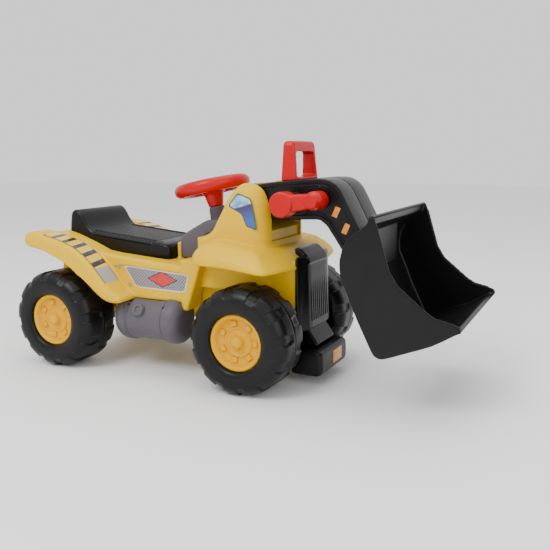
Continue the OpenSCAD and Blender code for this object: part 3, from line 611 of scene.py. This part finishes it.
def tank(side):
    name = "left" if side > 0 else "right"
    half, r, end = TANK_HALF, TANK_R, 26
    turns = [math.pi / 20 * k for k in range(11)]
    profile = [(0.5, -half)] + [(r - end + end * math.sin(t), end - half - end * math.cos(t)) for t in turns]
    profile += [(r, -52), (r, -50), (r - 2.6, -48.6), (r - 3.4, -47), (r - 2.2, -45), (r - 3.5, -42), (r - 4.6, -30),
                (r - 5, 0)]
    profile += [(a, -b) for a, b in reversed(profile[:-1])]
    body = revolve(f"{name}_tank_moulding", profile, 96)
    place(body, shift(TANK_AT[0], side * TANK_AT[1], TANK_AT[2]) @ Matrix.Rotation(math.pi / 2, 4, "Y"))
    cutters = []
    for reach, low, front in ((92.3, 40, -50), (134.3, 164.7, -50), (FENDER_Y, 160.6, -221.6)):
        y0, y1 = sorted((0, side * reach))
        cutters.append(round_box("clearance", (-300, y0, low), (front, y1, 200), 1))
    for x in TANK_SCREW_X:
        hole = revolve("hole", [(0.2, -6), (3.5, -6), (3.5, 54), (0.2, 54)], 24)
        place(hole, shift(x, side * 150, 150) @ Matrix.Rotation(-math.radians(35) * side, 4, "X"))
        cutters.append(hole)
    cut(body, *cutters)
    snap(body, f"{name}_tank", (0,))
    dress(body, GREY, "chassis", [f"{name}_tank"], 40)


# ---------------------------------------------------------------- seat
def seat():
    line = [(-452, 266), (-440, 250.3), (-157.5, 250.3), (-157.5, 274), (-163, 284), (-172, 287.6)]
    pan_front, pan_rear = -206, -374

    def pan_height(x):
        return 291 + (x - pan_front) / (pan_rear - pan_front) * 16

    pan = [(-190, 289.5)]
    for k in range(41):
        x = pan_front - 4.2 * k
        pan.append((x, pan_height(x) + (1.5 if k % 2 else -1.3)))
    back = [(-386, 312), (-398, 324), (-408, 342), (-418, 354), (-430, 358), (-441, 354), (-446, 342), (-451, 300)]
    body = pillow("seat_moulding", line + pan + back, -SEAT_Y, SEAT_Y, 8, smooth=1, cut=0.25, steps=6)
    lugs = []
    for s in (-1, 1):
        y = s * SEAT_LUG_Y
        barrel = revolve("lug", [(0.3, -8), (5, -8), (6, -7), (6, 7), (5, 8), (0.3, 8)], 32)
        place(barrel, shift(SEAT_PIVOT[0], y, SEAT_PIVOT[1]) @ Matrix.Rotation(math.pi / 2, 4, "X"))
        lugs += [barrel, round_box("arm", (-164, y - 8, 276), (-152, y + 8, 288), 2)]
    piping = []
    around = [math.pi / 4 * i for i in range(8)]
    for dy, w in ((13, 2.3), (19.5, 1.9)):
        for y in (dy - SEAT_Y, SEAT_Y - dy):
            tube = []
            for x in range(-384, -176, 8):
                z = (288 if x > pan_front else pan_height(x)) + 0.2
                tube.append([(x, y + w * math.cos(a), z + w * math.sin(a)) for a in around])
            piping.append(loft("piping", tube))
    join("seat_moulding", [body, *lugs, *piping])
    snap(body, "seat")
    dress(body, BLACK, "seat", ["seat"], 60)


# ---------------------------------------------------------------- steering wheel
def steering_wheel():
    rim_r, tube = 73.0, 15.0
    rings = []
    for i in range(96):
        a = 2 * math.pi * i / 96
        ring = []
        for k in range(20):
            b = 2 * math.pi * k / 20
            swell = tube * (1 - 0.035 * (0.5 + 0.5 * math.cos(24 * a)) * max(0.0, -math.sin(b)))
            out = rim_r + swell * math.cos(b)
            ring.append((out * math.cos(a), out * math.sin(a), swell * math.sin(b)))
        rings.append(ring)
    rim = loft("rim", rings + [rings[0]], caps=False)
    parts = [rim]
    for a in (60, 180, 300):
        spoke = round_box("spoke", (10, -15, -8), (74, 15, 7), 5)
        place(spoke, Matrix.Rotation(math.radians(a), 4, "Z"))
        parts.append(spoke)
    parts.append(revolve("boss", [(0.5, -46), (15, -46), (17, -44), (19, -34), (22, -20), (27, -12), (31, -9),
                                  (32, -4), (31.5, 4), (29, 7.6), (14, 8), (12.6, 7), (12.2, 6), (0.5, 6)], 64))
    wheel = knead(join("steering_wheel_moulding", parts), 1.5, 4)
    place(wheel, COLUMN)
    snap(wheel, "steering_wheel")
    dress(wheel, RED, "steering", ["steering_wheel"], 60)
    cap = revolve("wheel_cap_moulding", [(0.3, 6), (11.4, 6), (12, 6.6), (12, 8.6), (11, 9.7), (7, 10.2),
                                         (0.3, 10.4)], 48)
    place(cap, COLUMN)
    snap(cap, "wheel_cap")
    dress(cap, RED, "steering", ["wheel_cap"], 40)


# ---------------------------------------------------------------- wheels
def smooth_mask(x, half, soft):
    """1 within half of zero, falling to 0 over soft."""
    return max(0.0, min(1.0, (half + soft - abs(x)) / soft))


def wheel_space(corner):
    """A wheel's place, half width and radius, from its tyre's box. Z points outwards along the axle."""
    low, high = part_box(f"{corner}_tyre")
    side = 1 if "left" in corner else -1
    at = Matrix.Translation((low + high) / 2) @ Matrix.Rotation(-math.pi / 2 * side, 4, "X")
    return at, (high.y - low.y) / 2 / MM, (high.z - low.z) / 2 / MM


def tyre(corner, body):
    at, half, r = wheel_space(corner)
    profile = [(76, -half + 24), (77, -half + 6), (80, -half)]
    inner = r - TYRE_ROUND
    turns = [math.pi / 28 * k for k in range(15)]
    profile += [(inner + TYRE_ROUND * math.sin(t), TYRE_ROUND - half - TYRE_ROUND * math.cos(t)) for t in turns]
    for h in (-24, -18, -12, -7, -5, -2.5, 0, 2.5, 5, 7, 12, 18, 24):
        profile.append((r, h))
    profile += [(inner + TYRE_ROUND * math.cos(t), half - TYRE_ROUND + TYRE_ROUND * math.sin(t)) for t in turns]
    profile += [(74, half), (69, half - 0.5), (64, half - 2.4), (61, half - 5), (59.5, half - 9), (59.3, half - 36)]

    def tread(a, rr, h):
        if rr < r - 22:
            return rr
        phase = (a / (2 * math.pi) * TREAD_BLOCKS + (0.25 if h > 0 else 0.75)) % 1 - 0.5
        arc = phase * 2 * math.pi * r / TREAD_BLOCKS
        wedge = 6 + 3.5 * smooth_mask(abs(h) - 40, 14, 10)
        open_side = smooth_mask(arc, wedge, 3) * min(1.0, max(0.0, (abs(h) - 6) / 3))
        depth = 4.2 * min(1.0, (rr - (r - 22)) / 8)
        return rr - depth * open_side - 1.2 * smooth_mask(h, 1.5, 2)

    skin = revolve(f"{corner}_tyre_moulding", profile, 288, tread)
    place(skin, at)
    snap(skin, f"{corner}_tyre")
    back = revolve("back", [(14, 23 - half), (74, 23 - half), (77, 24.5 - half), (77, 26 - half), (14, 26 - half)], 72)
    place(back, at)
    join(skin.name, [skin, back])
    dress(skin, TYRE, body, [f"{corner}_tyre"], 30)


def hub(corner, body):
    at, half, _ = wheel_space(corner)
    face = half - 11
    floor = face - 14
    rim = [(50, floor - 3), (54, face - 4), (58.4, face - 4.5), (59, face - 3.6), (59, face - 1), (58, face),
           (56, face + 0.6), (54, face + 0.4), (52, face - 1), (50.2, face - 3.2), (48.6, face - 7), (47, face - 11)]
    dish = [(45, 0.8), (42.5, 0), (33, 0), (32, 0.7), (31, 2.6), (30, 3), (28.4, 2.8), (27, 1.4), (25.5, 0.2),
            (22, 0.2), (17, 1.2), (14.6, 3.4), (13.4, 7)]
    middle = [(12.6, -4), (10.6, -0.6), (7, 1.2), (3, 1.9), (0.4, 2)]
    profile = [(12, floor - 3), *rim, *((r, floor + h) for r, h in dish), *((r, face + h) for r, h in middle)]
    parts = [revolve(f"{corner}_hub_moulding", profile, 128)]
    for i in range(NUTS):
        nut = round_box("nut", (NUT_R - NUT_HALF, -NUT_HALF, floor - 2), (NUT_R + NUT_HALF, NUT_HALF, floor + 5), 2)
        place(nut, Matrix.Rotation(2 * math.pi * i / NUTS, 4, "Z"))
        parts.append(nut)
    join(parts[0].name, parts)
    place(parts[0], at)
    snap(parts[0], f"{corner}_hub")
    dress(parts[0], HUB, body, [f"{corner}_hub"], 40)


# ---------------------------------------------------------------- boom, handles and levers
boom_back = [math.radians(a) for a in range(90, 271, 12)]
boom_line = [(BOOM_PIVOT[0] + 36.5 * math.cos(a), BOOM_PIVOT[1] + 36.5 * math.sin(a)) for a in boom_back]
boom_line += [(157, 353), (205, 355), (221, 344), (240, 317), (256, 293), (262, 281), (276, 272), (290, 270.5),
              (304, 277), (313, 292), (311, 302), (289, 343), (257, 404), (250, 416), (240, 427), (226, 435),
              (212, 438), (185, 438), (110, 431)]


def boom():
    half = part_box("boom_left")[1].y / MM
    outline = [Vector(p) for p in boom_line]
    for side, name in ((1, "left"), (-1, "right")):
        part = pillow(f"boom_{name}_moulding", boom_line, 0.0, half, 3.0, smooth=1, cut=0.12)
        well = pillow("well", offset(outline, 8.5), half - 3.5, half + 6, 0.4, smooth=1, cut=0.1)
        cut(part, well)
        trim = []
        for x, z in ((100, 420), (205, 420), (246, 390), (96, 366), (232, 352)):
            stud = revolve("stud", [(0.2, 0), (3.4, 0), (3.2, 1.2), (1.8, 2.0), (0.2, 2.2)], 20)
            place(stud, shift(x, half - 4.2, z) @ Matrix.Rotation(-math.pi / 2, 4, "X"))
            trim.append(stud)
        seam = pillow("seam", offset(outline, 13), half - 4.2, half - 2.7, 0.6, smooth=1, cut=0.1)
        cut(seam, pillow("seam_in", offset(outline, 15), half - 6, half - 1, 0.1, smooth=1, cut=0.1))
        arch_line = [(118, 362), (178, 362), (178, 392), (168, 404), (154, 409), (142, 409), (128, 404), (118, 392)]
        arch = pillow("arch", arch_line, half - 5, half - 1.6, 1.2, smooth=2)
        join(part.name, [part, seam, arch, *trim])
        if side < 0:
            mirror(part)
        snap(part, f"boom_{name}")
        dress(part, BLACK_EDGED, "boom", [f"boom_{name}"], 35)


def loop_handle():
    outer = [(-63, 428), (63, 428), (60.2, 470), (58, 506), (55, 512), (48, 515), (-48, 515), (-55, 512), (-58, 506),
             (-60.2, 470)]
    body = pillow("loop_handle_moulding", outer, 113, 147, 6, "YZ", smooth=1, cut=0.1)
    for v in body.data.vertices:
        up = max(0.0, (v.co.z / MM - 431) / 84)
        v.co.x += MM * ((3.4 if v.co.x / MM < 130 else -6.7) * up)
    hole = pillow("hole", [(-50, 439), (50, 439), (46, 493), (-46, 493)], 95, 165, 0.3, "YZ", smooth=1, cut=0.08)
    cut(body, hole)
    boom_top = [(90, 400), (170, 400), (170, 436.6), (152, 434.92), (110, 431), (106, 430.43), (90, 428)]
    under = pillow("under", boom_top, -70, 70, 0.1, smooth=0)
    cut(body, under)
    knead(body, 1.5, 3)
    snap(body, "loop_handle")
    dress(body, RED, "boom", ["loop_handle"], 60)


def lever(side):
    name = "left" if side > 0 else "right"
    low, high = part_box("left_lever")
    y0, y1 = low.y / MM, high.y / MM
    wide = y1 - y0
    disc_profile = [(0.4, 20), (24, 20), (25.6, 21), (26, 23), (26, wide - 5), (25, wide - 1.6), (23, wide - 0.2),
                    (20, wide), (0.4, wide)]
    neck_profile = [(0.4, 0), (18.4, 0), (19, 0.6), (19, 30), (0.4, 30)]
    grip_profile = [(0.4, 1), (17.6, 1), (18.7, 2.2), (19, 4), (19, 40), (18.2, 44), (16.4, 50), (14.4, 54.6),
                    (13, 56), (0.4, 56.2)]
    bars = []
    for tag, (x, z), profile, segments in (("disc", LEVER_PIVOT, disc_profile, 96),
                                           ("neck", LEVER_PIVOT, neck_profile, 64), ("grip", GRIP, grip_profile, 64)):
        bar = revolve(tag, profile, segments)
        bars.append(place(bar, shift(x, y0, z) @ Matrix.Rotation(-math.pi / 2, 4, "X")))
    link = pillow("link", [(144, 368), (209, 380.5), (209, 410.5), (144, 406)], y1 - 34, y1 - 6, 5, smooth=0)
    body = knead(join(f"{name}_lever_moulding", [*bars, link]), 1.3, 3)
    if side < 0:
        mirror(body)
    snap(body, f"{name}_lever")
    dress(body, RED, "lever", [f"{name}_lever"], 60)


# ---------------------------------------------------------------- bucket
rim_line = [(520.5, 178), (518, 188), (509, 192), (468, 201), (394, 262), (361, 372), (356, 377.5)]
back_line = [(350, 376), (346, 361), (308, 333), (299, 315), (293, 290), (295, 262), (311, 227), (325, 191),
             (358, 124), (364, 116), (374, 112), (386, 114.5), (465, 146), (488, 159), (510, 173)]


def bucket():
    outline = rim_line + back_line
    inner = offset([Vector(p) for p in outline], 5)
    mouth = [(620, 190), (520, 480)]
    back = [(p.x, p.y) for p in inner[len(rim_line):]]
    body = pillow("bucket_moulding", outline, -BUCKET_Y, BUCKET_Y, 4, smooth=1, cut=0.15)
    hollow = pillow("hollow", mouth + back, -185.5, 185.5, 3, smooth=0)
    cut(body, hollow)
    box = pillow("pocket", [(272, 258), (326, 258), (326, 356), (272, 356)], -80, 80, 3, smooth=0)
    keep = pillow("keep", outline, -BUCKET_Y, BUCKET_Y, 1, smooth=1, cut=0.15)
    m = box.modifiers.new("within", "BOOLEAN")
    m.operation, m.solver, m.object = "INTERSECT", "MANIFOLD", keep
    bpy.context.view_layer.update()
    apply_modifiers(box)
    bpy.data.objects.remove(keep)
    parts = [body, box]
    ear = [(286, 283), (304, 283), (304, 313), (286, 313), (277, 310), (271, 302), (271, 294), (277, 286)]
    for s in (-1, 1):
        parts.append(pillow("ear", ear, *sorted((s * 76, s * 83)), 1.5, smooth=1))
    knead(join("bucket_moulding", parts), 1.9, 2)
    cut(body, pillow("pocket_in", [(276, 262), (322, 262), (322, 352), (276, 352)], -76, 76, 1, smooth=0))
    crank = [(286, 320), (324, 312), (324, 334), (286, 336), (279, 333), (278, 325)]
    lugs = [pillow("crank_ear", crank, *sorted((s * 4.6, s * 9)), 0.8, smooth=1) for s in (-1, 1)]
    join(body.name, [body, *lugs])
    snap(body, "bucket")
    dress(body, BLACK, "bucket", ["bucket"], 45)


# ---------------------------------------------------------------- stickers
def strip(name, line, y0, y1, lift):
    """A thin strip over a side-view line, from y0 to y1, with UV in metres along and across."""
    line = chaikin(line, 3, 0.25, closed=False)
    along = [0.0]
    for a, b in zip(line, line[1:]):
        along.append(along[-1] + (b - a).length)
    verts = [(p.x, y, p.y + lift) for p in line for y in (y0, y1)]
    faces = [(2 * i, 2 * i + 1, 2 * i + 3, 2 * i + 2) for i in range(len(line) - 1)]
    mesh = bpy.data.meshes.new(name)
    mesh.from_pydata([Vector(v) * MM for v in verts], [], faces)
    uv = mesh.uv_layers.new(name="UVMap")
    for poly in mesh.polygons:
        for li in poly.loop_indices:
            v = mesh.loops[li].vertex_index
            uv.data[li].uv = (along[v // 2] / along[-1], 0.15 if v % 2 else 0.0)
    obj = bpy.data.objects.new(name, mesh)
    bpy.context.scene.collection.objects.link(obj)
    solid = obj.modifiers.new("vinyl", "SOLIDIFY")
    solid.thickness, solid.offset = 0.0003, 1.0
    bpy.context.view_layer.update()
    return apply_modifiers(obj)


def decal(name, outline, y, side, border, corner):
    """A flat sticker with a rounded outline at y; UV Y is 0 in the border and 1 inside it."""
    sharp = [Vector(p) for p in outline]
    if area(sharp) < 0:
        sharp.reverse()
    steps = ((0, 0), (0.3, STICKER_T), (border, STICKER_T), (border + 0.4, STICKER_T))
    rings = [(chaikin(offset(sharp, d), 3, corner), h) for d, h in steps]
    n = len(rings[0][0])
    verts = [(p.x, side * (y + h), p.y) for ring, h in rings for p in ring]
    faces = []
    for k in range(len(rings) - 1):
        for i in range(n):
            j = (i + 1) % n
            faces.append((k * n + i, k * n + j, (k + 1) * n + j, (k + 1) * n + i))
    faces.append(tuple(3 * n + i for i in range(n)))
    mesh = bpy.data.meshes.new(name)
    mesh.from_pydata([Vector(v) * MM for v in verts], [], faces)
    uv = mesh.uv_layers.new(name="UVMap")
    for poly in mesh.polygons:
        for li in poly.loop_indices:
            uv.data[li].uv = (0.5, 1.0 if mesh.loops[li].vertex_index >= 3 * n else 0.0)
    if side > 0:
        mesh.flip_normals()
    obj = bpy.data.objects.new(name, mesh)
    bpy.context.scene.collection.objects.link(obj)
    return obj


def stickers():
    hazard = hazard_material()
    lines = []
    for s, tag in ((1, "left"), (-1, "right")):
        line = [(-262, 206.5), (-267, 212.4), (-304, 253.4), (-330, 273.4), (-357, 287.4), (-395, 299.4), (-438, 308.4)]
        lines.append(strip(f"hazard_sticker_{tag}", line, s * 140, s * 189, 0.3))
    for o in lines:
        dress(o, hazard, "chassis", [])
    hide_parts("hazard_stickers")
    side_mat = side_material(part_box("side_stickers"))
    window_mat = window_material(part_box("window_stickers"))
    orange = orange_material()
    window_line = [(81, 331), (74, 370), (67, 397), (35, 409), (11, 380), (44, 364), (55, 338)]
    for s, tag in ((1, "left"), (-1, "right")):
        a = decal(f"side_sticker_{tag}", [(-254, 240), (-222, 191), (-89, 188), (-78, 229)], 130.2, s, 2.4, 0.06)
        dress(a, side_mat, "chassis", ["side_stickers"] if s > 0 else [])
        b = decal(f"window_sticker_{tag}", window_line, CAB_Y, s, 2.6, 0.1)
        dress(b, window_mat, "chassis", ["window_stickers"] if s > 0 else [])
        for k, (x, z) in enumerate(((241, 371), (262, 338))):
            corners = [(x - 10, z - 8), (x + 1, z - 12), (x + 10, z + 8), (x - 1, z + 12)]
            c = decal(f"boom_sticker_{tag}_{k}", corners, 69.6, s, 0.8, 0.06)
            dress(c, orange, "boom", ["boom_stickers"] if s > 0 and k == 0 else [])
    low, high = (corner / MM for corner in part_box("bumper_sticker"))
    plate = round_box("bumper_sticker_print", (low.x - 0.3, low.y, low.z), (high.x + STICKER_T, high.y, high.z), 0.3)
    dress(plate, orange, "chassis", ["bumper_sticker"])


def plain_nodes():
    """CAD nodes shown as they are: machined and turned hardware, with eased edges."""
    shown = {"steel": STEEL, "nylon": NYLON, "black_plastic": BLACK_EDGED, "grey_plastic": GREY}
    slots = {s["node"]: s["material_slot"] for s in frame["record"]["subparts"]}
    for name, obj in frame["nodes"].items():
        if obj.hide_render:
            continue
        obj.data.materials.clear()
        obj.data.materials.append(shown[slots[name]])
        if "screws" not in name:
            edge = obj.modifiers.new("eased", "BEVEL")
            edge.width, edge.segments, edge.limit_method, edge.angle_limit = 0.0005, 2, "ANGLE", math.radians(50)


rear_body()
front_body()
console()
grille()
bumper()
tank(1)
tank(-1)
seat()
steering_wheel()
for corner_name in ("rear_left", "rear_right", "front_left", "front_right"):
    tyre(corner_name, f"{corner_name}_wheel")
    hub(corner_name, f"{corner_name}_wheel")
boom()
loop_handle()
lever(1)
lever(-1)
bucket()
stickers()
plain_nodes()


# ---------------------------------------------------------------- floor, light and camera
def stage():
    floor_mesh = bpy.data.meshes.new("floor")
    floor_mesh.from_pydata([(-9, -9, -0.0005), (9, -9, -0.0005), (9, 9, -0.0005), (-9, 9, -0.0005)], [], [(0, 1, 2, 3)])
    floor = bpy.data.objects.new("floor", floor_mesh)
    bpy.context.scene.collection.objects.link(floor)
    mat, nodes, links, bsdf = new_material("studio_floor")
    tone = spread(nodes, links, noise(nodes, links, coords(nodes, links), 3, 3), 0.3, 0.7, 0, 1)
    links.new(blend_colour(nodes, links, tone, (0.93, 0.93, 0.93), (0.90, 0.90, 0.90)), bsdf.inputs["Base Color"])
    bsdf.inputs["Roughness"].default_value = 0.6
    floor_mesh.materials.append(mat)
    world = bpy.data.worlds.new("studio")
    world.use_nodes = True
    bpy.context.scene.world = world
    world.node_tree.nodes["Background"].inputs["Color"].default_value = (1, 1, 1, 1)
    world.node_tree.nodes["Background"].inputs["Strength"].default_value = 1.15


def lamp(name, at, target, size, power):
    data = bpy.data.lights.new(name, "AREA")
    data.shape, data.size, data.energy = "SQUARE", size, power
    obj = bpy.data.objects.new(name, data)
    bpy.context.scene.collection.objects.link(obj)
    obj.location = at
    obj.rotation_euler = (Vector(target) - Vector(at)).to_track_quat("-Z", "Y").to_euler()


def camera():
    data = bpy.data.cameras.new("camera")
    data.lens, data.sensor_width = 44.74, 36
    data.clip_start, data.clip_end = 0.05, 60
    cam = bpy.data.objects.new("camera", data)
    bpy.context.scene.collection.objects.link(cam)
    a, e, roll = math.radians(26.323), math.radians(10.059), math.radians(-0.452)
    back = Vector((math.sin(a) * math.cos(e), -math.cos(a) * math.cos(e), math.sin(e)))
    right = Vector((math.cos(a), math.sin(a), 0))
    up = back.cross(right)
    x = math.cos(roll) * right + math.sin(roll) * up
    y = -math.sin(roll) * right + math.cos(roll) * up
    turn = Matrix((x, y, back)).transposed().to_4x4()
    cam.matrix_world = Matrix.Translation((0.7422, -1.3634, 0.4883)) @ turn
    bpy.context.scene.camera = cam


stage()
lamp("key", (-0.6, -2.0, 2.4), (0, 0, 0.25), 1.2, 52)
lamp("fill", (2.4, -1.2, 1.4), (0, 0, 0.25), 1.8, 22)
lamp("top", (0.2, 0.4, 3.0), (0, 0, 0.2), 2.2, 30)
camera()
